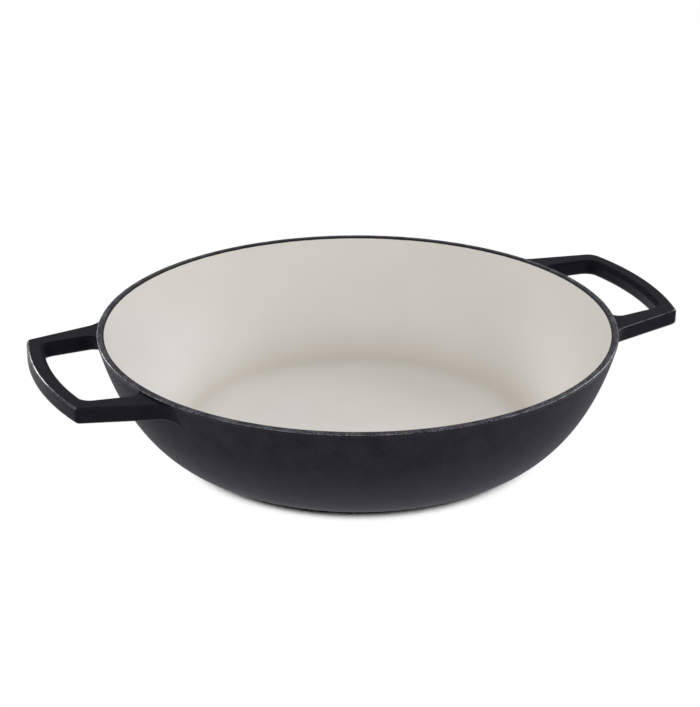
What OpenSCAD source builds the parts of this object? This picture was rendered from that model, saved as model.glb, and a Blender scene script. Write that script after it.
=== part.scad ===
// Shallow enamelled cast-iron pan with two loop handles.
// The origin is the centre of the base, Z points up and the handles lie along X.
// The outside of the enamel is the driving surface, and the iron and the lining are measured inwards from it.

/* [Bowl] */
// Diameter over the rim, to its outer edge before rounding
rim_d = 300; // [270:5:340]
// Height from the table to the top of the rim
pan_h = 71; // [60:1:90]
// Diameter of the ground foot that the pan stands on
foot_d = 182; // [150:2:196]
// How far the ground foot stands below the enamel
foot_h = 0.8; // [0.4:0.1:1.5]
// Lean of the wall at the rim, in degrees from upright
wall_lean = 14.75; // [8:0.25:18]
// Length of the pull that keeps the belly flat beside the foot
belly_pull = 24.6; // [18:0.2:34]
// Length of the pull that keeps the wall straight below the rim
wall_pull = 45; // [34:0.5:50]
// Thickness of the iron in the wall
wall_t = 3.4; // [2.8:0.1:4.5]
// Thickness of the iron in the floor
floor_t = 4.4; // [3.4:0.1:6]
// Rounding of the iron between the floor and the wall, inside
floor_round = 12; // [8:1:20]

/* [Rim] */
// Height of the plain band of ground coat round the rim
band_h = 1.6; // [1.5:0.1:3]
// Rounding of the rim's outer edge
rim_round = 0.9; // [0.6:0.1:1.1]
// Rounding of the rim's inner edge
rim_inner_round = 0.6; // [0.5:0.05:0.8]

/* [Enamel] */
// Thickness of the cream lining
lining_t = 0.4; // [0.3:0.05:0.6]
// Thickness of the black enamel and of the ground coat
coat_t = 0.3; // [0.2:0.05:0.4]

/* [Handles] */
// How far a handle reaches out past the rim
reach = 39.2; // [32:0.2:46]
// Width of a handle over its two outer corners
grip_w = 101.6; // [90:0.2:120]
// How far the grip bar bows outwards in its middle
bar_bow = 7.2; // [4:0.2:10]
// Width of the grip bar, seen from above
bar_w = 9.6; // [7:0.2:11]
// Depth of the grip bar, seen from the side
bar_t = 9.7; // [7:0.1:11]
// Width of an arm beside the grip bar
arm_w = 8.4; // [6.6:0.2:10]
// Depth of an arm where its underside starts to sweep down
root_t = 9.5; // [7:0.1:11]
// Splay of an arm's outer edge, in degrees
splay_out = 13.6; // [8:0.2:15]
// Splay of an arm's inner edge, in degrees
splay_in = 4.8; // [2:0.2:6]
// Drop of the handle's top face below the rim, at the grip bar
bar_drop = 0.2; // [0.1:0.1:2]
// Drop of the handle's top face below the rim, at the wall
root_drop = 1.4; // [1:0.1:2.5]
// Rounding of the two outer corners, seen from above
corner_r = 3.5; // [2:0.5:6]
// Rounding of the two inner corners, seen from above
inner_corner_r = 7.5; // [4:0.5:9]
// Sweep of an arm into the wall on its outer side
outer_sweep_r = 17; // [14:1:24]
// Sweep of an arm into the wall inside the loop
inner_sweep_r = 5; // [4:0.5:9]
// Sweep of an arm's underside down the wall
under_sweep_r = 17; // [13:1:21]

/* [Hidden] */
$fn = 180;

// Steps along each kind of curve
wall_steps = 30;
edge_steps = 4;
corner_steps = 5;
sweep_steps = 8;
bow_steps = 8;

// How far the handle runs on inside the wall before it is trimmed
overrun = 10;
// How far the end of an arm's side tucks into the wall, so that it runs out under the enamel
side_tuck = 0.5;
// How far down the underside's sweep an arm's outer side runs out
runout_share = 0.36;
// How far along the wall's curve its inside has come down straight, on its way to the floor
inside_start = 0.31;
// The last direction of the underside's sweep, in degrees
sweep_end = 160;

rim_r = rim_d / 2;
foot_r = foot_d / 2;
inner_depth = coat_t + wall_t;
glaze_depth = inner_depth + lining_t;

function unit(v) = v / norm(v);
function left_of(v) = [-v.y, v.x];
function last(list) = list[len(list) - 1];
function backwards(list) = [for (i = [len(list) - 1 : -1 : 0]) list[i]];
function arc(centre, r, from, to, steps) = [
    for (i = [0 : steps])
        let (a = from + (to - from) * i / steps)
        centre + r * [cos(a), sin(a)]
];

// A point and a direction on the curve that four points pull
function curve(p, u) = pow(1 - u, 3) * p[0] + 3 * pow(1 - u, 2) * u * p[1]
    + 3 * (1 - u) * pow(u, 2) * p[2] + pow(u, 3) * p[3];
function course(p, u) = pow(1 - u, 2) * (p[1] - p[0]) + 2 * (1 - u) * u * (p[2] - p[1])
    + pow(u, 2) * (p[3] - p[2]);

// The outside of the wall in section, from the edge of the foot to the bottom of the rim band
wall_end = [rim_r - band_h * tan(wall_lean), pan_h - band_h];
wall_pulls = [
    [foot_r, foot_h],
    [foot_r + belly_pull, foot_h],
    wall_end - wall_pull * [sin(wall_lean), cos(wall_lean)],
    wall_end
];
// The same line moved into the metal, by one depth at the foot and another at the rim
function wall_line(foot_depth, rim_depth, start = 0) = [
    for (i = [0 : wall_steps])
        let (u = start + (1 - start) * i / wall_steps, depth = foot_depth + (rim_depth - foot_depth) * u)
        curve(wall_pulls, u) + depth * left_of(unit(course(wall_pulls, u)))
];
// The inside in section: the wall comes straight down to the level floor and meets it in a rounding
function inside_line(floor_depth, wall_depth, round_r) =
    let (
        line = wall_line(floor_depth, wall_depth, inside_start),
        along = unit(line[1] - line[0]),
        level = foot_h + floor_depth,
        slope = atan2(along.y, along.x),
        corner_x = line[0].x - along.x * (line[0].y - level) / along.y
    )
    concat(
        arc([corner_x - round_r * tan(slope / 2), level + round_r], round_r, -90, slope - 90, corner_steps),
        line
    );
coat_line = wall_line(0, 0);
iron_line = wall_line(coat_t, coat_t);
inner_line = inside_line(coat_t + floor_t, inner_depth, floor_round);
glaze_line = inside_line(coat_t + floor_t + lining_t, glaze_depth, floor_round - lining_t);

// The radius of the straight wall of the rim band at height z and a depth into the metal
function band_r(z, depth) = rim_r - (pan_h - z) * tan(wall_lean) - depth / cos(wall_lean);
// The rounded edges of the rim, at a depth into the metal from the side and from the top
function outer_edge(depth, top, r) =
    let (z = pan_h - top - r)
    arc([band_r(z, depth) - r / cos(wall_lean), z], r, -wall_lean, 90, edge_steps);
function inner_edge(depth, top, r) =
    let (z = pan_h - top - r)
    arc([band_r(z, depth) + r / cos(wall_lean), z], r, 90, 180 - wall_lean, edge_steps);
coat_rim = concat(outer_edge(0, 0, rim_round), inner_edge(glaze_depth, 0, rim_inner_round));
iron_rim = concat(
    outer_edge(coat_t, coat_t, rim_round - coat_t),
    inner_edge(inner_depth, coat_t, rim_inner_round / 2)
);

module iron_bowl() {
    color("dimgray") rotate_extrude() polygon(concat(
        [[0, 0], [foot_r, 0]],
        iron_line,
        iron_rim,
        backwards(inner_line),
        [[0, inner_line[0].y]]
    ));
}

module cream_lining() {
    color([0.82, 0.80, 0.76]) rotate_extrude() polygon(concat(
        [[0, inner_line[0].y]],
        inner_line,
        [last(iron_rim), last(coat_rim)],
        backwards(glaze_line),
        [[0, glaze_line[0].y]]
    ));
}

module rim_coat() {
    color([0.30, 0.30, 0.32]) rotate_extrude() polygon(concat(
        [wall_end],
        coat_rim,
        backwards(iron_rim),
        [last(iron_line)]
    ));
}

module black_coat() {
    color([0.15, 0.15, 0.17]) difference() {
        rotate_extrude() polygon(concat(coat_line, backwards(iron_line)));
        loop(coat_t);
        mirror([1, 0, 0]) loop(coat_t);
    }
}

// The bowl filled solid to the rim, out to a depth into the metal, for trimming the handles
module filled_bowl(line, rim) {
    rotate_extrude() polygon(concat(
        [[0, 0], [foot_r, 0]],
        line,
        rim,
        [[0, last(rim).y]]
    ));
}

// A handle in plan, on the side of positive X
bar_x = rim_r + reach;
corner = [bar_x - bar_bow, grip_w / 2];
bow_r = (pow(corner.y, 2) + pow(bar_bow, 2)) / (2 * bar_bow);
bow_centre = [bar_x - bow_r, 0];
inner_bow_r = bow_r - bar_w;
inner_corner = corner - [bar_w, arm_w];
arm_out = [-cos(splay_out), sin(splay_out)];
arm_in = [-cos(splay_in), sin(splay_in)];

// The levels at which an arm's inner and outer sides run out into the wall, and the wall's radius at a level
root_z = pan_h - root_drop - root_t;
runout_z = root_z - under_sweep_r * runout_share;
function line_r(line, z, i) = line[i + 1].y < z
    ? line_r(line, z, i + 1)
    : line[i].x + (line[i + 1].x - line[i].x) * (z - line[i].y) / (line[i + 1].y - line[i].y);

// A point that goes from p along a line until it is at a distance from a centre
function run_to(p, along, centre, distance) =
    let (q = p - centre, b = q * along)
    p - along * (b + sqrt(b * b - q * q + distance * distance));
// An arc the short way about a centre, without its first point
function turn(centre, from, to, steps) =
    let (
        q = from - centre,
        e = to - centre,
        a = atan2(q.y, q.x),
        sweep = (atan2(e.y, e.x) - a + 540) % 360 - 180
    )
    [for (i = [1 : steps]) centre + norm(q) * [cos(a + sweep * i / steps), sin(a + sweep * i / steps)]];
// One half of an outline: the bow of radius r, the rounded corner, the straight arm and its sweep into the wall
// at level z. side is 1 for an arm's outer edge, where the sweep lies outside the loop, and -1 for its inner edge.
function half_outline(r, point, along, round_r, sweep_r, side, z) =
    let (
        root_r = line_r(coat_line, z, 0) - side_tuck,
        away = -left_of(along),
        middle = bow_centre + [r, 0],
        round_c = run_to(point - away * round_r, along, bow_centre, r - round_r),
        bow_end = bow_centre + unit(round_c - bow_centre) * r,
        arm_start = round_c + away * round_r,
        sweep_c = run_to(point + side * away * sweep_r, along, [0, 0], root_r + sweep_r),
        arm_end = sweep_c - side * away * sweep_r,
        wall_touch = unit(sweep_c) * root_r
    )
    concat(
        [middle],
        turn(bow_centre, middle, bow_end, bow_steps),
        turn(round_c, bow_end, arm_start, corner_steps),
        [arm_end],
        turn(sweep_c, arm_end, wall_touch, sweep_steps),
        [unit(wall_touch) * (root_r - overrun)]
    );
function both_halves(half) = concat(half, [for (i = [len(half) - 1 : -1 : 1]) [half[i].x, -half[i].y]]);
outer_half = half_outline(bow_r, corner, arm_out, corner_r, outer_sweep_r, 1, runout_z);
inner_half = half_outline(inner_bow_r, inner_corner, arm_in, inner_corner_r, inner_sweep_r, -1, root_z);

// A handle from the side: its top face and its underside, which sweeps down the wall and leaves the arm's outer
// side just where that side runs out
runout_x = outer_half[len(outer_half) - 2].x;
sweep_start = [runout_x + under_sweep_r * sqrt(1 - pow(1 - runout_share, 2)), root_z];
profile_in = runout_x - overrun;
profile_out = bar_x + overrun;
function top_z(x) = pan_h - bar_drop - (root_drop - bar_drop) * (bar_x - x) / (bar_x - sweep_start.x);
bar_under_z = top_z(bar_x) - bar_t;
function under_z(x) = bar_under_z - (bar_under_z - root_z) * (bar_x - x) / (bar_x - sweep_start.x);
under_sweep = arc(sweep_start - [0, under_sweep_r], under_sweep_r, sweep_end, 90, sweep_steps);
side_profile = concat(
    [[profile_in, under_sweep[0].y]],
    under_sweep,
    [
        [profile_out, under_z(profile_out)],
        [profile_out, top_z(profile_out)],
        [profile_in, top_z(profile_in)]
    ]
);

// A closed outline moved inwards by a depth, with its corners kept
function inset(points, depth) = [
    for (i = [0 : len(points) - 1])
        let (
            before = points[(i + len(points) - 1) % len(points)],
            after = points[(i + 1) % len(points)],
            n = left_of(unit(points[i] - before)),
            m = left_of(unit(after - points[i]))
        )
        points[i] + (n + m) * depth / (1 + n * m)
];

// A whole handle at a depth inside its enamel, still untrimmed where it enters the bowl
module loop(depth) {
    intersection() {
        linear_extrude(pan_h) difference() {
            polygon(inset(both_halves(outer_half), depth));
            polygon(inset(both_halves(inner_half), -depth));
        }
        translate([0, rim_r, 0]) rotate([90, 0, 0]) linear_extrude(rim_d) polygon(inset(side_profile, depth));
    }
}

module loop_iron() {
    difference() {
        loop(coat_t);
        filled_bowl(iron_line, iron_rim);
        rim_coat();
    }
}

module loop_coat() {
    difference() {
        loop(0);
        loop(coat_t);
        filled_bowl(coat_line, coat_rim);
    }
}

module right_loop_iron() {
    color("dimgray") loop_iron();
}

module left_loop_iron() {
    color("dimgray") mirror([1, 0, 0]) loop_iron();
}

module right_loop_coat() {
    color([0.12, 0.12, 0.14]) loop_coat();
}

module left_loop_coat() {
    color([0.12, 0.12, 0.14]) mirror([1, 0, 0]) loop_coat();
}

iron_bowl();
cream_lining();
black_coat();
rim_coat();
left_loop_iron();
right_loop_iron();
left_loop_coat();
right_loop_coat();
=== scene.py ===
"""Looks for the shallow enamelled pan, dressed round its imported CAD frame.

Shapes are worked out in millimetres and meshed in metres, in the frame's own axes: the pan stands on z = 0,
the bowl is turned about Z and the loops lie along X.
"""

import math

import bmesh
import bpy
from mathutils import Matrix, Vector


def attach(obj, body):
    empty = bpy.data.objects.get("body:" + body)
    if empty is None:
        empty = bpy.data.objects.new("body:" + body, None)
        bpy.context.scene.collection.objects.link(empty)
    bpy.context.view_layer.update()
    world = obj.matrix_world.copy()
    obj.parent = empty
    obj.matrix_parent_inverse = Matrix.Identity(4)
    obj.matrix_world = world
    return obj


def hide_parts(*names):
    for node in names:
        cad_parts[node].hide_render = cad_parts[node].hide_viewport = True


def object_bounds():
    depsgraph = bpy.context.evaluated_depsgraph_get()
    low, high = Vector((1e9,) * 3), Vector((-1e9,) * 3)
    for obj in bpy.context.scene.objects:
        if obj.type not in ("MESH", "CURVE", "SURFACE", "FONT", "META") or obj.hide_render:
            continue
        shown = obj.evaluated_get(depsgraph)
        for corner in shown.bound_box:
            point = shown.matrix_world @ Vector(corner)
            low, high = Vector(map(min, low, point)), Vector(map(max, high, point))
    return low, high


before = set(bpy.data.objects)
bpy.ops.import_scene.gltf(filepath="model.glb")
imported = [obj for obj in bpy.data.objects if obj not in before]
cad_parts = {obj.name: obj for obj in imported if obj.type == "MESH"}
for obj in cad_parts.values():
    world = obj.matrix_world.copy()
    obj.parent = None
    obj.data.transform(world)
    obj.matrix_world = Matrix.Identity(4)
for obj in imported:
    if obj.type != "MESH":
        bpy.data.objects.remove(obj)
cad_low, cad_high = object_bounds()

MM = 0.001


# The photograph's view: how far the camera stands from the middle of the rim, and the way that it points
CAMERA_DISTANCE = 1214.36 * MM
CAMERA_ABOVE = math.radians(22.345)
CAMERA_ROUND = math.radians(-22.744)
CAMERA_YAW = math.radians(-0.204)
CAMERA_PITCH = math.radians(-0.814)
CAMERA_ROLL = math.radians(-0.026)
CAMERA_LENS = 107.26
CAMERA_NEAREST = 0.05


def put_in_scene(name, data):
    thing = bpy.data.objects.new(name, data)
    bpy.context.scene.collection.objects.link(thing)
    return thing


def add_camera():
    rim_middle = Vector((0, 0, cad_high.z))
    back = Vector((0, -math.cos(CAMERA_ABOVE), math.sin(CAMERA_ABOVE)))
    forward = -back
    up = Vector((1, 0, 0)).cross(forward)
    aim = (forward + math.tan(CAMERA_YAW) * Vector((1, 0, 0)) + math.tan(CAMERA_PITCH) * up).normalized()
    level = aim.cross(Vector((0, 0, 1))).normalized()
    upright = level.cross(aim)
    right = math.cos(CAMERA_ROLL) * level + math.sin(CAMERA_ROLL) * upright
    top = -math.sin(CAMERA_ROLL) * level + math.cos(CAMERA_ROLL) * upright
    bearing = Matrix.Rotation(CAMERA_ROUND, 3, "Z")
    axes = Matrix((bearing @ right, bearing @ top, bearing @ -aim)).transposed()
    camera = put_in_scene("camera", bpy.data.cameras.new("camera"))
    camera.matrix_world = Matrix.Translation(rim_middle + bearing @ back * CAMERA_DISTANCE) @ axes.to_4x4()
    camera.data.lens = CAMERA_LENS
    camera.data.clip_start = CAMERA_NEAREST
    bpy.context.scene.camera = camera


add_camera()


# The pan's sizes, in millimetres
RIM_R = 150
PAN_H = 71
FOOT_R = 91
FOOT_H = 0.8
WALL_LEAN = math.radians(14.75)
BELLY_PULL = 24.6
WALL_PULL = 45
WALL_T = 3.4
FLOOR_T = 4.4
FLOOR_ROUND = 12
FLOOR_SHARE = 0.31
BAND_H = 1.6
RIM_ROUND = 0.9
RIM_INNER_ROUND = 0.6
LINING_T = 0.4
COAT_T = 0.3

REACH = 39.2
GRIP_W = 101.6
BAR_BOW = 7.2
BAR_W = 9.6
BAR_T = 9.7
ARM_W = 8.4
ROOT_T = 9.5
SPLAY_OUT = math.radians(13.6)
SPLAY_IN = math.radians(4.8)
BAR_DROP = 0.2
ROOT_DROP = 1.4
LEFT_CORNER_R = 3.2
RIGHT_NEAR_CORNER_R = 4.5
RIGHT_FAR_CORNER_R = 9.5
INNER_CORNER_R = 7.5
OUTER_SWEEP_R = 17
INNER_SWEEP_R = 5
UNDER_SWEEP_R = 17
RUNOUT_SHARE = 0.36

INNER_DEPTH = COAT_T + WALL_T
GLAZE_DEPTH = INNER_DEPTH + LINING_T

# How finely the shapes are cut, how near points are before they count as one, and the angle from which an
# edge is sharp
TURN_STEPS = 288
WALL_STEPS = 48
EDGE_STEPS = 6
SAME_POINT = 0.002 * MM
SAME_LOOP_POINT = 0.0005 * MM
CREASE = math.radians(35)
# How many points of the rim's inner rounding the glaze covers
GLAZED_POINTS = 3


def pull_curve(pulls, u):
    a, b, c, d = pulls
    v = 1 - u
    return v**3 * a + 3 * v * v * u * b + 3 * v * u * u * c + u**3 * d


def pull_course(pulls, u):
    a, b, c, d = pulls
    v = 1 - u
    return (v * v * (b - a) + 2 * v * u * (c - b) + u * u * (d - c)).normalized()


WALL_END = Vector((RIM_R - BAND_H * math.tan(WALL_LEAN), PAN_H - BAND_H))
WALL_PULLS = (
    Vector((FOOT_R, FOOT_H)),
    Vector((FOOT_R + BELLY_PULL, FOOT_H)),
    WALL_END - WALL_PULL * Vector((math.sin(WALL_LEAN), math.cos(WALL_LEAN))),
    WALL_END,
)


def wall_line(foot_depth, rim_depth, start=0):
    """The wall in section from foot to rim band, moved into the metal by one depth at the foot and another at
    the rim."""
    line = []
    for i in range(WALL_STEPS + 1):
        u = start + (1 - start) * i / WALL_STEPS
        course = pull_course(WALL_PULLS, u)
        depth = foot_depth + (rim_depth - foot_depth) * u
        line.append(pull_curve(WALL_PULLS, u) + depth * Vector((-course.y, course.x)))
    return line


def arc(centre, r, start, end, steps=EDGE_STEPS):
    angles = [start + (end - start) * i / steps for i in range(steps + 1)]
    return [Vector(centre) + r * Vector((math.cos(a), math.sin(a))) for a in angles]


def inside_line(floor_depth, wall_depth, floor_round):
    """The inside in section: the wall comes straight down to the level floor and meets it in a rounding."""
    line = wall_line(floor_depth, wall_depth, FLOOR_SHARE)
    along = (line[1] - line[0]).normalized()
    level = FOOT_H + floor_depth
    slope = math.atan2(along.y, along.x)
    corner_r = line[0].x - along.x * (line[0].y - level) / along.y
    middle = (corner_r - floor_round * math.tan(slope / 2), level + floor_round)
    return arc(middle, floor_round, -math.pi / 2, slope - math.pi / 2) + line


def band_r(z, depth):
    return RIM_R - (PAN_H - z) * math.tan(WALL_LEAN) - depth / math.cos(WALL_LEAN)


def outer_edge(depth, r):
    """The rim's outer edge, rounded from the lean of the wall to level."""
    z = PAN_H - r
    return arc((band_r(z, depth) - r / math.cos(WALL_LEAN), z), r, -WALL_LEAN, math.pi / 2)


def inner_edge(depth, r):
    z = PAN_H - r
    return arc((band_r(z, depth) + r / math.cos(WALL_LEAN), z), r, math.pi / 2, math.pi - WALL_LEAN)


COAT_LINE = wall_line(0, 0)


def wall_r(z):
    """The outside radius of the enamelled wall at a height."""
    if z >= WALL_END.y:
        return band_r(z, 0)
    for low, high in zip(COAT_LINE, COAT_LINE[1:]):
        if high.y >= z:
            return low.x + (high.x - low.x) * (z - low.y) / (high.y - low.y)
    return FOOT_R


def make_piece(name, shape, finish, node):
    """Turns a bmesh into a piece that rides on the pan and stands for a CAD node."""
    bmesh.ops.remove_doubles(shape, verts=shape.verts, dist=SAME_POINT)
    bmesh.ops.recalc_face_normals(shape, faces=shape.faces)
    mesh = bpy.data.meshes.new(name)
    shape.to_mesh(mesh)
    shape.free()
    mesh.shade_smooth()
    mesh.set_sharp_from_angle(angle=CREASE)
    mesh.materials.append(finish)
    piece = put_in_scene(name, mesh)
    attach(piece, "root")
    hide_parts(node)


def turned(outline, closed=True):
    """A shape turned round Z from an outline of radius and height. An open one starts and ends on Z."""
    shape = bmesh.new()
    corners = [shape.verts.new((p.x * MM, 0, p.y * MM)) for p in outline]
    pairs = list(zip(corners, corners[1:]))
    if closed:
        pairs.append((corners[-1], corners[0]))
    edges = [shape.edges.new(pair) for pair in pairs]
    bmesh.ops.spin(
        shape, geom=corners + edges, cent=(0, 0, 0), axis=(0, 0, 1), dvec=(0, 0, 0), angle=2 * math.pi,
        steps=TURN_STEPS, use_merge=True, use_normal_flip=False, use_duplicate=False,
    )
    return shape


BAR_X = RIM_R + REACH
CORNER = Vector((BAR_X - BAR_BOW, GRIP_W / 2))
BOW_R = (CORNER.y**2 + BAR_BOW**2) / (2 * BAR_BOW)
BOW_CENTRE = Vector((BAR_X - BOW_R, 0))
INNER_CORNER = CORNER - Vector((BAR_W, ARM_W))
ROOT_Z = PAN_H - ROOT_DROP - ROOT_T
RUNOUT_Z = ROOT_Z - UNDER_SWEEP_R * RUNOUT_SHARE

# How many steps each stretch of half a loop is cut into
BOW_STEPS = 16
CORNER_STEPS = 7
ARM_STEPS = 10
SWEEP_STEPS = 20
# How deep a loop's sides sink under the wall where they have run out, and how far they go on inside it
SINK = 0.04
OVERRUN = 1.5
DEEPEST = 2.4


def run_to(point, along, centre, distance):
    """Where a line from a point is first at a distance from a centre, seen from outside."""
    q = point - centre
    b = q.dot(along)
    return point - along * (b + math.sqrt(b * b - q.length_squared + distance * distance))


def turn(centre, start, end, steps):
    """The points of an arc the short way about a centre."""
    a, e = start - centre, end - centre
    angle = math.atan2(a.x * e.y - a.y * e.x, a.dot(e))
    spins = [Matrix.Rotation(angle * i / steps, 2) for i in range(steps + 1)]
    return [centre + spin @ a for spin in spins]


def half_outline(bow_r, point, splay, round_r, sweep_r, side, z):
    """Half of a loop's outer (side 1) or inner (side -1) outline at height z, from the middle of the bar to
    inside the wall, as pairs of a point and the direction out of the metal there."""
    along = Vector((-math.cos(splay), math.sin(splay)))
    away = Vector((along.y, -along.x))
    root_r = wall_r(z) - SINK
    middle = BOW_CENTRE + Vector((bow_r, 0))
    round_c = run_to(point - away * round_r, along, BOW_CENTRE, bow_r - round_r)
    bow_end = BOW_CENTRE + (round_c - BOW_CENTRE).normalized() * bow_r
    arm_start = round_c + away * round_r
    sweep_c = run_to(point + side * away * sweep_r, along, Vector((0, 0)), root_r + sweep_r)
    arm_end = sweep_c - side * away * sweep_r
    wall_touch = sweep_c.normalized() * root_r
    points = []
    for p in turn(BOW_CENTRE, middle, bow_end, BOW_STEPS):
        points.append((p, side * (p - BOW_CENTRE).normalized()))
    for p in turn(round_c, bow_end, arm_start, CORNER_STEPS)[1:]:
        points.append((p, side * (p - round_c).normalized()))
    for i in range(1, ARM_STEPS + 1):
        points.append((arm_start.lerp(arm_end, i / ARM_STEPS), side * away))
    for p in turn(sweep_c, arm_end, wall_touch, SWEEP_STEPS)[1:]:
        points.append((p, (sweep_c - p).normalized()))
    inward = wall_touch.normalized()
    points.append((inward * (root_r - OVERRUN), inward))
    return points


def outer_half(z, corner_r=LEFT_CORNER_R):
    return half_outline(BOW_R, CORNER, SPLAY_OUT, corner_r, OUTER_SWEEP_R, 1, z)


def inner_half(z):
    return half_outline(BOW_R - BAR_W, INNER_CORNER, SPLAY_IN, INNER_CORNER_R, INNER_SWEEP_R, -1, z)


# The underside leaves the level where the outer side has run out, as it does in the CAD
RUNOUT_X = outer_half(RUNOUT_Z)[-2][0].x
SWEEP_X = RUNOUT_X + UNDER_SWEEP_R * math.sqrt(1 - (1 - RUNOUT_SHARE)**2)
SWEEP_END = math.radians(70)


def top_z(x):
    return PAN_H - BAR_DROP - (ROOT_DROP - BAR_DROP) * (BAR_X - x) / (BAR_X - SWEEP_X)


def under_z(x):
    if x < SWEEP_X:
        past = min(SWEEP_X - x, UNDER_SWEEP_R * math.sin(SWEEP_END))
        return ROOT_Z - UNDER_SWEEP_R + math.sqrt(UNDER_SWEEP_R**2 - past * past)
    level = top_z(BAR_X) - BAR_T
    return level - (level - ROOT_Z) * (BAR_X - x) / (BAR_X - SWEEP_X)


# The roundings of a loop's long edges: on top at the bar and at the arms, outside and inside it, and below
BAR_OUTER_ROUND = 1.9
ARM_OUTER_ROUND = 0.95
BAR_INNER_ROUND = 2.6
ARM_INNER_ROUND = 1.1
UNDER_ROUND = 2.4
SIDE_LEVELS = 6
FACE_STEPS = 6
# How many times the underside's height is worked out again from where the outline is at that height
UNDER_ROUNDS = 4


def kept_in_wall(p):
    """A point of a loop, moved out to where it is still well inside the wall's thickness."""
    least = wall_r(p.z) - DEEPEST
    r = math.hypot(p.x, p.y)
    return p if r >= least else Vector((p.x * least / r, p.y * least / r, p.z))


def section(station, corner_r, depth):
    """The closed section of a loop at a station, inset by a depth: up the outer side, over the top, down the
    inner side and back under."""
    round_corner = min(max((station - BOW_STEPS) / CORNER_STEPS, 0), 1)
    outer_round = BAR_OUTER_ROUND + (ARM_OUTER_ROUND - BAR_OUTER_ROUND) * round_corner
    inner_round = BAR_INNER_ROUND + (ARM_INNER_ROUND - BAR_INNER_ROUND) * round_corner
    under_r = UNDER_ROUND - depth

    def side(half, top_r, rising):
        """The points up one side with its rounded edges."""
        z_top = top_z(half(PAN_H - ROOT_DROP)[station][0].x) - depth
        z_under = RUNOUT_Z
        for _ in range(UNDER_ROUNDS):
            z_under = under_z(half(z_under)[station][0].x)
        z_under += depth
        marks = []
        for i in range(EDGE_STEPS + 1):
            a = math.pi / 2 * i / EDGE_STEPS
            marks.append((under_r * (1 - math.sin(a)), z_under + under_r * (1 - math.cos(a))))
        low, high = z_under + under_r, z_top - top_r
        marks += [(0, low + (high - low) * i / SIDE_LEVELS) for i in range(1, SIDE_LEVELS)]
        for i in range(EDGE_STEPS + 1):
            a = math.pi / 2 * i / EDGE_STEPS
            marks.append((top_r * (1 - math.cos(a)), z_top - top_r * (1 - math.sin(a))))
        points = []
        for inset, z in marks:
            p, out = half(z)[station]
            q = p - out * (inset + depth)
            points.append(Vector((q.x, q.y, z)))
        return points if rising else points[::-1]

    outer = side(lambda z: outer_half(z, corner_r), outer_round - depth, True)
    inner = side(inner_half, inner_round - depth, False)
    top = [outer[-1].lerp(inner[0], i / FACE_STEPS) for i in range(1, FACE_STEPS)]
    under = [inner[-1].lerp(outer[0], i / FACE_STEPS) for i in range(1, FACE_STEPS)]
    for p in under:
        p.z = under_z(p.x) + depth
    return [kept_in_wall(p) for p in outer + top + inner + under]


# Where a section's outer and inner top roundings start, in points, and the attributes that mark them
OUTER_EDGE = EDGE_STEPS + SIDE_LEVELS
INNER_EDGE = OUTER_EDGE + EDGE_STEPS + FACE_STEPS
BRIGHT_EDGE = "bright_edge"
# The inner top edge's mark gives it more roughness and painted shade
DULL_SHADED_EDGE = "dull_shaded_edge"
# The left loop's outer edge is bright along its bar only: the steps from the middle to where it starts to
# dull, and the steps that it takes to dull
BRIGHT_STEPS = BOW_STEPS + 3
DULLING_STEPS = 3


def loop_shape(side, near_corner_r, far_corner_r, depth=0):
    """A whole loop, on the side of positive X (side 1) or negative X (side -1), with its top edges marked."""
    stations = range(len(outer_half(ROOT_Z)))
    far, near = [[section(i, r, depth) for i in stations] for r in (far_corner_r, near_corner_r)]
    sections = [[Vector((p.x, -p.y, p.z)) for p in ring] for ring in near[:0:-1]] + far
    count, around = len(sections) - 1, len(sections[0])
    shape = bmesh.new()
    marks = [(shape.verts.layers.float.new(name), start)
             for name, start in ((BRIGHT_EDGE, OUTER_EDGE), (DULL_SHADED_EDGE, INNER_EDGE))]
    bmesh.ops.create_grid(shape, x_segments=count, y_segments=around, size=1)
    for vert in shape.verts:
        i = round((vert.co.x + 1) / 2 * count)
        j = round((vert.co.y + 1) / 2 * around) % around
        vert.co = sections[i][j] * MM
        vert.co.x *= side
        past_bar = min(max((abs(i - count / 2) - BRIGHT_STEPS) / DULLING_STEPS, 0), 1)
        kept = {BRIGHT_EDGE: 1 if side > 0 else 1 - past_bar, DULL_SHADED_EDGE: 1}
        for layer, start in marks:
            vert[layer] = kept[layer.name] * math.sin(math.pi * min(max((j - start) / EDGE_STEPS, 0), 1))
    bmesh.ops.remove_doubles(shape, verts=shape.verts, dist=SAME_LOOP_POINT)
    ends = [edge for edge in shape.edges if edge.is_boundary]
    bmesh.ops.holes_fill(shape, edges=ends, sides=0)
    return shape


class Value:
    """A node's output. Sums on it are Math nodes."""

    def __init__(self, finish, socket):
        self.finish, self.socket = finish, socket

    def sum(self, operation, first, second=0.0):
        return self.finish.add("Math", {"operation": operation}, {"0": first, "1": second})

    def __add__(self, other):
        return self.sum("ADD", self, other)

    def __radd__(self, other):
        return self.sum("ADD", other, self)

    def __sub__(self, other):
        return self.sum("SUBTRACT", self, other)

    def __rsub__(self, other):
        return self.sum("SUBTRACT", other, self)

    def __mul__(self, other):
        return self.sum("MULTIPLY", self, other)

    def __rmul__(self, other):
        return self.sum("MULTIPLY", other, self)

    def __pow__(self, other):
        return self.sum("POWER", self, other)

    def size(self):
        return self.sum("ABSOLUTE", self)

    def over(self, low, high, ease="LINEAR"):
        """How far the value is from low to high, kept between 0 and 1."""
        settings = {"clamp": True, "interpolation_type": ease}
        return self.finish.add("MapRange", settings, {"Value": self, "From Min": low, "From Max": high})


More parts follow.
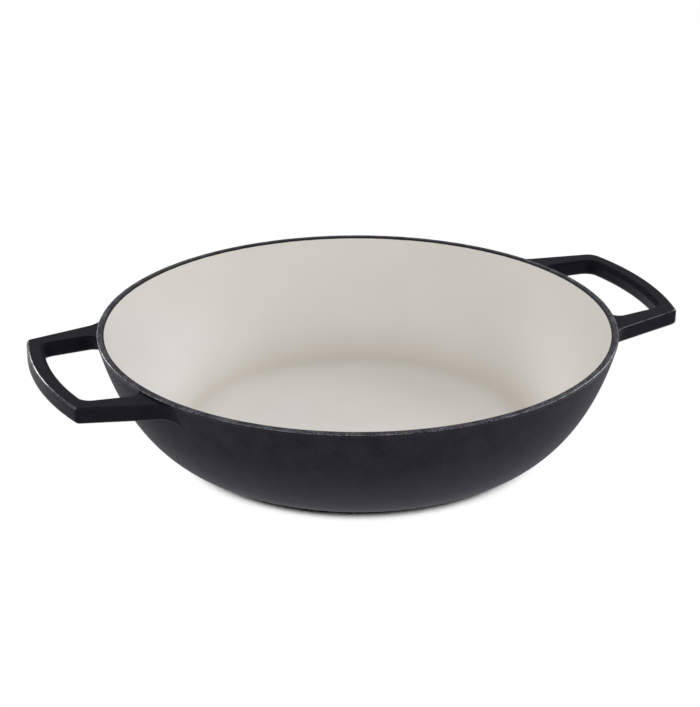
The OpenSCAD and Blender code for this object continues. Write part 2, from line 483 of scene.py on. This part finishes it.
class Finish:
    """A material under construction. add() makes any node."""

    def __init__(self, name):
        self.material = bpy.data.materials.new(name)
        self.material.use_nodes = True
        self.tree = self.material.node_tree
        self.tree.nodes.clear()
        self.place = self.add("TexCoord", output="Object")

    def add(self, kind, settings=None, values=None, output=None):
        node = self.tree.nodes.new("ShaderNode" + kind)
        for name, setting in (settings or {}).items():
            setattr(node, name, setting)
        for name, value in (values or {}).items():
            if name.isdigit():
                socket = node.inputs[int(name)]
            else:
                socket = next(s for s in node.inputs if s.name == name and s.enabled)
            if isinstance(value, Value):
                self.tree.links.new(value.socket, socket)
            else:
                socket.default_value = value
        if not node.outputs:
            return None
        if isinstance(output, str):
            return Value(self, node.outputs[output])
        return Value(self, next(s for s in node.outputs if s.enabled))

    def radius(self):
        """How far a point is from the pan's axis, in metres."""
        level = self.add("VectorMath", {"operation": "MULTIPLY"}, {"0": self.place, "1": (1, 1, 0)})
        return self.add("VectorMath", {"operation": "LENGTH"}, {"Vector": level}, output="Value")

    def height(self):
        return self.add("SeparateXYZ", {}, {"Vector": self.place}, output="Z")

    def noise(self, size, detail=2.0, roughness=0.5, place=None, output=None):
        """Cloudy noise from 0 to 1 with features of about a size in metres."""
        values = {"Scale": 1 / size, "Detail": detail, "Roughness": roughness}
        return self.add("TexNoise", {}, {"Vector": place or self.place, **values}, output)

    def mark(self, name):
        """A float attribute of the piece's own points."""
        return self.add("Attribute", {"attribute_name": name}, output="Fac")

    def blend(self, share, first, second):
        """One colour turning into another as a share goes from 0 to 1."""
        settings = {"data_type": "RGBA", "clamp_factor": True}
        return self.add("Mix", settings, {"Factor": share, "A": first, "B": second})

    def bump(self, height, depth, strength=1.0, normal=None):
        """A normal bent by a height from 0 to 1 over a depth in metres."""
        values = {"Height": height, "Distance": depth, "Strength": strength}
        if normal:
            values["Normal"] = normal
        return self.add("Bump", {}, values)

    def done(self, shader):
        """The material, with its shader joined on."""
        self.add("OutputMaterial", {}, {"Surface": shader})
        return self.material

    def surface(self, values):
        """The finished material, from values for the main shader's sockets."""
        return self.done(self.add("BsdfPrincipled", {}, values))


def colour(r, g, b):
    return (r, g, b, 1)


# The colours of each finish, and the sheen that the black enamels and the ground coat share
BLUE_SHEEN = colour(0.84, 0.81, 1.0)
BOWL_DARK = colour(0.0100, 0.0094, 0.0142)
BOWL_PALE = colour(0.0225, 0.0212, 0.0295)
# Painted reflection of the floor on the bowl's lowest part
BOWL_PAINTED_REFLECTION = colour(0.050, 0.047, 0.066)
LOOP_DARK = colour(0.0030, 0.0027, 0.0050)
LOOP_PALE = colour(0.0095, 0.0088, 0.0140)
CREAM_DARK = colour(0.628, 0.598, 0.556)
CREAM_PALE = colour(0.648, 0.618, 0.576)
# Painted shade for the crease where the wall meets the floor
CREAM_PAINTED_SHADE = colour(0.500, 0.457, 0.392)
COAT_DARK = colour(0.005, 0.0045, 0.0075)
COAT_PALE = colour(0.066, 0.064, 0.084)
IRON_DARK = colour(0.055, 0.052, 0.050)
IRON_PALE = colour(0.125, 0.120, 0.115)

# The size of the casting's grain and of its slow waves, which show through the black enamels, and the depths
GRAIN = 1.6 * MM
WAVES = 12 * MM
WAVE_DEPTH = 0.5 * MM
BOWL_GRAIN_DEPTH = 0.15 * MM
LOOP_GRAIN_DEPTH = 0.012 * MM
# Up to which height the bowl's black enamel is paler towards the foot, a painted reflection of the white
# floor
PAINTED_REFLECTION_H = 50 * MM


def casting(f, grain_depth):
    """The casting's grain and waves, and the normal that they bend."""
    grain = f.noise(GRAIN, 3, 0.6)
    waves = f.noise(WAVES, 3)
    return grain, waves, f.bump(grain, grain_depth, 0.9, f.bump(waves, WAVE_DEPTH, 0.35))


def bowl_enamel():
    """Satin black enamel with a bluish cast over the grain of the casting, paler towards the foot as a
    painted reflection of the floor.
    """
    f = Finish("bowl_black_enamel")
    grain, waves, normal = casting(f, BOWL_GRAIN_DEPTH)
    tone = (0.45 * waves + 0.55 * grain).over(0.32, 0.68)
    # Painted reflection of the white floor, paling the enamel towards the foot
    painted_reflection = (1 - f.height().over(0, PAINTED_REFLECTION_H)) ** 1.3
    return f.surface({
        "Base Color": f.blend(painted_reflection, f.blend(tone, BOWL_DARK, BOWL_PALE), BOWL_PAINTED_REFLECTION),
        "Roughness": 0.50 + 0.10 * grain.over(0.3, 0.7),
        "Specular IOR Level": 0.06,
        "Specular Tint": BLUE_SHEEN,
        "Normal": normal,
    })


# How rough the polish is on the bright edges of the loops and the rim, and how long it runs on a loop
POLISH = 0.16
POLISHED_L = 5 * MM


def loop_enamel():
    """The same enamel, smoother from being held: bright along the outer top edge, rougher on the inner one
    and darkened there by painted shade.
    """
    f = Finish("loop_black_enamel")
    grain, waves, normal = casting(f, LOOP_GRAIN_DEPTH)
    bright = f.mark(BRIGHT_EDGE).over(0.45, 0.9)
    dull_and_shade = f.mark(DULL_SHADED_EDGE).over(0.1, 0.6)
    # Painted shade along the inner top edge darkens the tone there
    tone = (0.4 * waves + 0.6 * grain).over(0.3, 0.7) * (1 - dull_and_shade)
    return f.surface({
        "Base Color": f.blend(tone, LOOP_DARK, LOOP_PALE),
        "Roughness": 0.38 + 0.10 * grain.over(0.3, 0.7) + 0.25 * dull_and_shade,
        "Specular IOR Level": 0.07,
        "Specular Tint": BLUE_SHEEN,
        "Coat Weight": bright * f.noise(POLISHED_L, 1).over(0.25, 0.50),
        "Coat Roughness": POLISH,
        "Normal": normal,
    })


# The height at which the cream glaze ends, how unevenly it does, and how soft its end is
GLAZE_TOP = PAN_H * MM - 0.85 * MM
GLAZE_WOBBLE = 0.3 * MM
GLAZE_END = 0.15 * MM
# How far from the axis the painted shade lies in the crease where the wall meets the floor, and how far that
# spreads
PAINTED_SHADE_R = 103 * MM
PAINTED_SHADE_SPREAD = 27 * MM
PAINTED_SHADE_DEPTH = 0.75
# The size of the glaze's clouds of tone and of its uneven skin, and the skin's depth
CLOUDS = 38 * MM
SKIN = 7 * MM
SKIN_DEPTH = 0.12 * MM


def cream_enamel():
    """Smooth cream glaze, a little uneven in tone, with painted shade darkening it in the crease round the
    floor.
    """
    f = Finish("cream_enamel")
    cloud = f.noise(CLOUDS, 3)
    skin = f.noise(SKIN, 2)
    # Painted shade in the crease where the wall meets the floor, darkest at its middle
    crease_shade = 1 - (f.radius() - PAINTED_SHADE_R).size().over(0, PAINTED_SHADE_SPREAD)
    plain = f.blend(cloud.over(0.3, 0.7), CREAM_DARK, CREAM_PALE)
    crease_shaded = f.blend(PAINTED_SHADE_DEPTH * crease_shade * crease_shade, plain, CREAM_PAINTED_SHADE)
    bare = (f.height() + GLAZE_WOBBLE * skin).over(GLAZE_TOP, GLAZE_TOP + GLAZE_END)
    return f.surface({
        "Base Color": f.blend(bare, crease_shaded, COAT_DARK),
        "Roughness": 0.46 + 0.08 * skin,
        "Specular IOR Level": 0.28,
        "Normal": f.bump(skin, SKIN_DEPTH, 0.3),
    })


# Where the rim's pale specks start and are full, outwards from the dark line at the glaze and up its side
SPECKS_FROM_R, SPECKS_FULL_R = 146.3 * MM, 146.6 * MM
SPECKS_FROM_Z, SPECKS_FULL_Z = 70.2 * MM, 70.6 * MM
# Where the rim's polished outer edge is, how far from there it is fully polished, and where the polish ends
RIM_EDGE_R = 149.3 * MM
POLISH_FULL, POLISH_END = 0.2 * MM, 0.4 * MM
# The size of the specks, of the patches in which they gather, and of the tints, and the specks' depth
SPECKS = 0.8 * MM
PATCHES = 9 * MM
TINTS = 3.5 * MM
SPECK_DEPTH = 0.20 * MM


def ground_coat():
    """Thin matt ground enamel with pale specks on top, dark beside the glaze and down its side."""
    f = Finish("ground_coat")
    specks = f.noise(SPECKS, 3, 0.7)
    patches = f.noise(PATCHES, 2)
    on_top = f.radius().over(SPECKS_FROM_R, SPECKS_FULL_R) * f.height().over(SPECKS_FROM_Z, SPECKS_FULL_Z)
    light = (specks + 0.35 * patches).over(0.62, 0.80) * on_top
    edge = 1 - (f.radius() - RIM_EDGE_R).size().over(POLISH_FULL, POLISH_END)
    tinted = f.blend(0.10, COAT_PALE, f.noise(TINTS, 1, output="Color"))
    return f.surface({
        "Base Color": f.blend(light, COAT_DARK, tinted),
        "Roughness": 0.34 + 0.22 * specks,
        "Specular IOR Level": 0.14,
        "Specular Tint": BLUE_SHEEN,
        "Coat Weight": edge * specks.over(0.35, 0.5),
        "Coat Roughness": POLISH,
        "Normal": f.bump(specks, SPECK_DEPTH, 0.9),
    })


# The size of the grinding rings under the foot and of the iron's pits, and how deep both are
RINGS = 0.9 * MM
PITS = 2.2 * MM
IRON_DEPTH = 0.08 * MM


def bare_iron():
    """Cast iron, ground flat under the foot in rings."""
    f = Finish("bare_iron")
    rings = f.noise(RINGS, 3, 0.7, place=f.add("CombineXYZ", {}, {"X": f.radius()}))
    pits = f.noise(PITS, 4, 0.65)
    tone = 0.6 * rings + 0.4 * pits
    return f.surface({
        "Base Color": f.blend(tone.over(0.3, 0.7), IRON_DARK, IRON_PALE),
        "Metallic": 0.75,
        "Roughness": 0.42 + 0.2 * pits,
        "Normal": f.bump(tone, IRON_DEPTH, 0.6),
    })


def add_pan():
    glaze_line = inside_line(COAT_T + FLOOR_T + LINING_T, GLAZE_DEPTH, FLOOR_ROUND - LINING_T)
    inner_line = inside_line(COAT_T + FLOOR_T, INNER_DEPTH, FLOOR_ROUND)
    iron_line = wall_line(COAT_T, COAT_T)
    outside = outer_edge(0, RIM_ROUND)
    inside = inner_edge(GLAZE_DEPTH, RIM_INNER_ROUND)
    axis = Vector((0, 1))
    lining = [inner_line[0].y * axis, *inner_line, *inside[-GLAZED_POINTS:]]
    lining += [*glaze_line[::-1], glaze_line[0].y * axis]
    coat = [*COAT_LINE, *iron_line[::-1]]
    rim = [COAT_LINE[-1], *outside, *inside[:-1], inner_line[-1], iron_line[-1]]
    glaze = turned(lining, closed=False)
    make_piece("cream_lining_glaze", glaze, cream_enamel(), "cream_lining")
    make_piece("bowl_enamel", turned(coat), bowl_enamel(), "black_coat")
    make_piece("rim_ground_coat", turned(rim), ground_coat(), "rim_coat")
    loops = {
        "left_loop": (-1, LEFT_CORNER_R, LEFT_CORNER_R),
        "right_loop": (1, RIGHT_NEAR_CORNER_R, RIGHT_FAR_CORNER_R),
    }
    enamel, iron = loop_enamel(), bare_iron()
    for name, form in loops.items():
        make_piece(f"{name}_enamel", loop_shape(*form), enamel, f"{name}_coat")
    for name, form in loops.items():
        make_piece(f"{name}_core", loop_shape(*form, COAT_T), iron, f"{name}_iron")
    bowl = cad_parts["iron_bowl"]
    bowl.data.materials.clear()
    bowl.data.materials.append(iron)


add_pan()


# How far the pan's shadow spreads, how open the floor is where it is black and where it has ended, and how
# finely that is looked for
SHADOW_SPREAD = 30 * MM
SHADOW_DARK = 0.094
SHADOW_CLEAR = 0.170
SHADOW_SAMPLES = 32
FLOOR_PAPER = colour(0.8, 0.8, 0.8)
FLOOR_R = 6
FLOOR_STEPS = 96


def add_floor():
    """A studio floor that is white to the camera, apart from the pan's close shadow, and in reflections."""
    f = Finish("floor_paper")
    paper = f.add("BsdfDiffuse", {}, {"Color": FLOOR_PAPER})
    settings, values = {"samples": SHADOW_SAMPLES}, {"Distance": SHADOW_SPREAD}
    open_share = f.add("AmbientOcclusion", settings, values, output="AO")
    clear_share = open_share.over(SHADOW_DARK, SHADOW_CLEAR, "SMOOTHSTEP")
    rays = f.add("LightPath").socket.node.outputs
    kinds = ("Camera", "Glossy", "Transmission")
    camera, glossy, through = [Value(f, rays[f"Is {kind} Ray"]) for kind in kinds]
    lit = f.add("Emission", {}, {"Strength": 1 - camera * (1 - clear_share)})
    seen = camera + glossy + through
    shape = bmesh.new()
    bmesh.ops.create_circle(shape, cap_ends=True, segments=FLOOR_STEPS, radius=FLOOR_R)
    mesh = bpy.data.meshes.new("floor")
    shape.to_mesh(mesh)
    shape.free()
    mesh.materials.append(f.done(f.add("MixShader", {}, {"Fac": seen, "1": paper, "2": lit})))
    put_in_scene("floor", mesh)


# How far away the lamps are, and the height of the point that they face
LAMP_DISTANCE = 2.0
LAMP_AIM_Z = 0.03


def add_lamp(name, round_deg, above_deg, size, watts, tint):
    """A soft flat lamp that faces the pan, placed by its bearing from the camera's own and its height."""
    a, e = math.radians(round_deg) + CAMERA_ROUND, math.radians(above_deg)
    place = Vector((math.sin(a) * math.cos(e), -math.cos(a) * math.cos(e), math.sin(e)))
    data = bpy.data.lights.new(name, "AREA")
    data.shape = "RECTANGLE"
    data.size, data.size_y = size
    data.energy, data.color = watts, tint
    lamp = put_in_scene(name, data)
    lamp.location = place * LAMP_DISTANCE + Vector((0, 0, LAMP_AIM_Z))
    lamp.rotation_mode = "QUATERNION"
    lamp.rotation_quaternion = (-place).to_track_quat("-Z", "Y")


# The even light from all round, and the lamps: bearing from the camera's own and height in degrees, size in
# metres, watts and tint
WORLD_LIGHT = 0.43
NEUTRAL = (1, 1, 1)
COOL = (0.90, 0.93, 1.0)
LAMPS = (
    ("front", 2, 46, (1.0, 0.8), 9, NEUTRAL),
    ("front_left", -40, 46, (1.0, 0.8), 6, NEUTRAL),
    ("front_low", 20, 6, (1.2, 0.4), 6, NEUTRAL),
    ("left", -90, 22, (1.0, 0.8), 6.5, NEUTRAL),
    ("left_back", -137, 22, (0.5, 0.4), 8, NEUTRAL),
    ("right", 90, 24, (1.0, 0.8), 10, COOL),
    ("right_edge", 82, 47, (0.2, 0.2), 3, NEUTRAL),
    ("right_back", 136, 30, (0.8, 0.6), 11, COOL),
)


def add_light():
    world = bpy.data.worlds.new("studio")
    bpy.context.scene.world = world
    world.use_nodes = True
    sky = world.node_tree.nodes["Background"].inputs
    sky["Color"].default_value = colour(1, 1, 1)
    sky["Strength"].default_value = WORLD_LIGHT
    for lamp in LAMPS:
        add_lamp(*lamp)


add_floor()
add_light()
bpy.context.scene.view_settings.view_transform = "Standard"
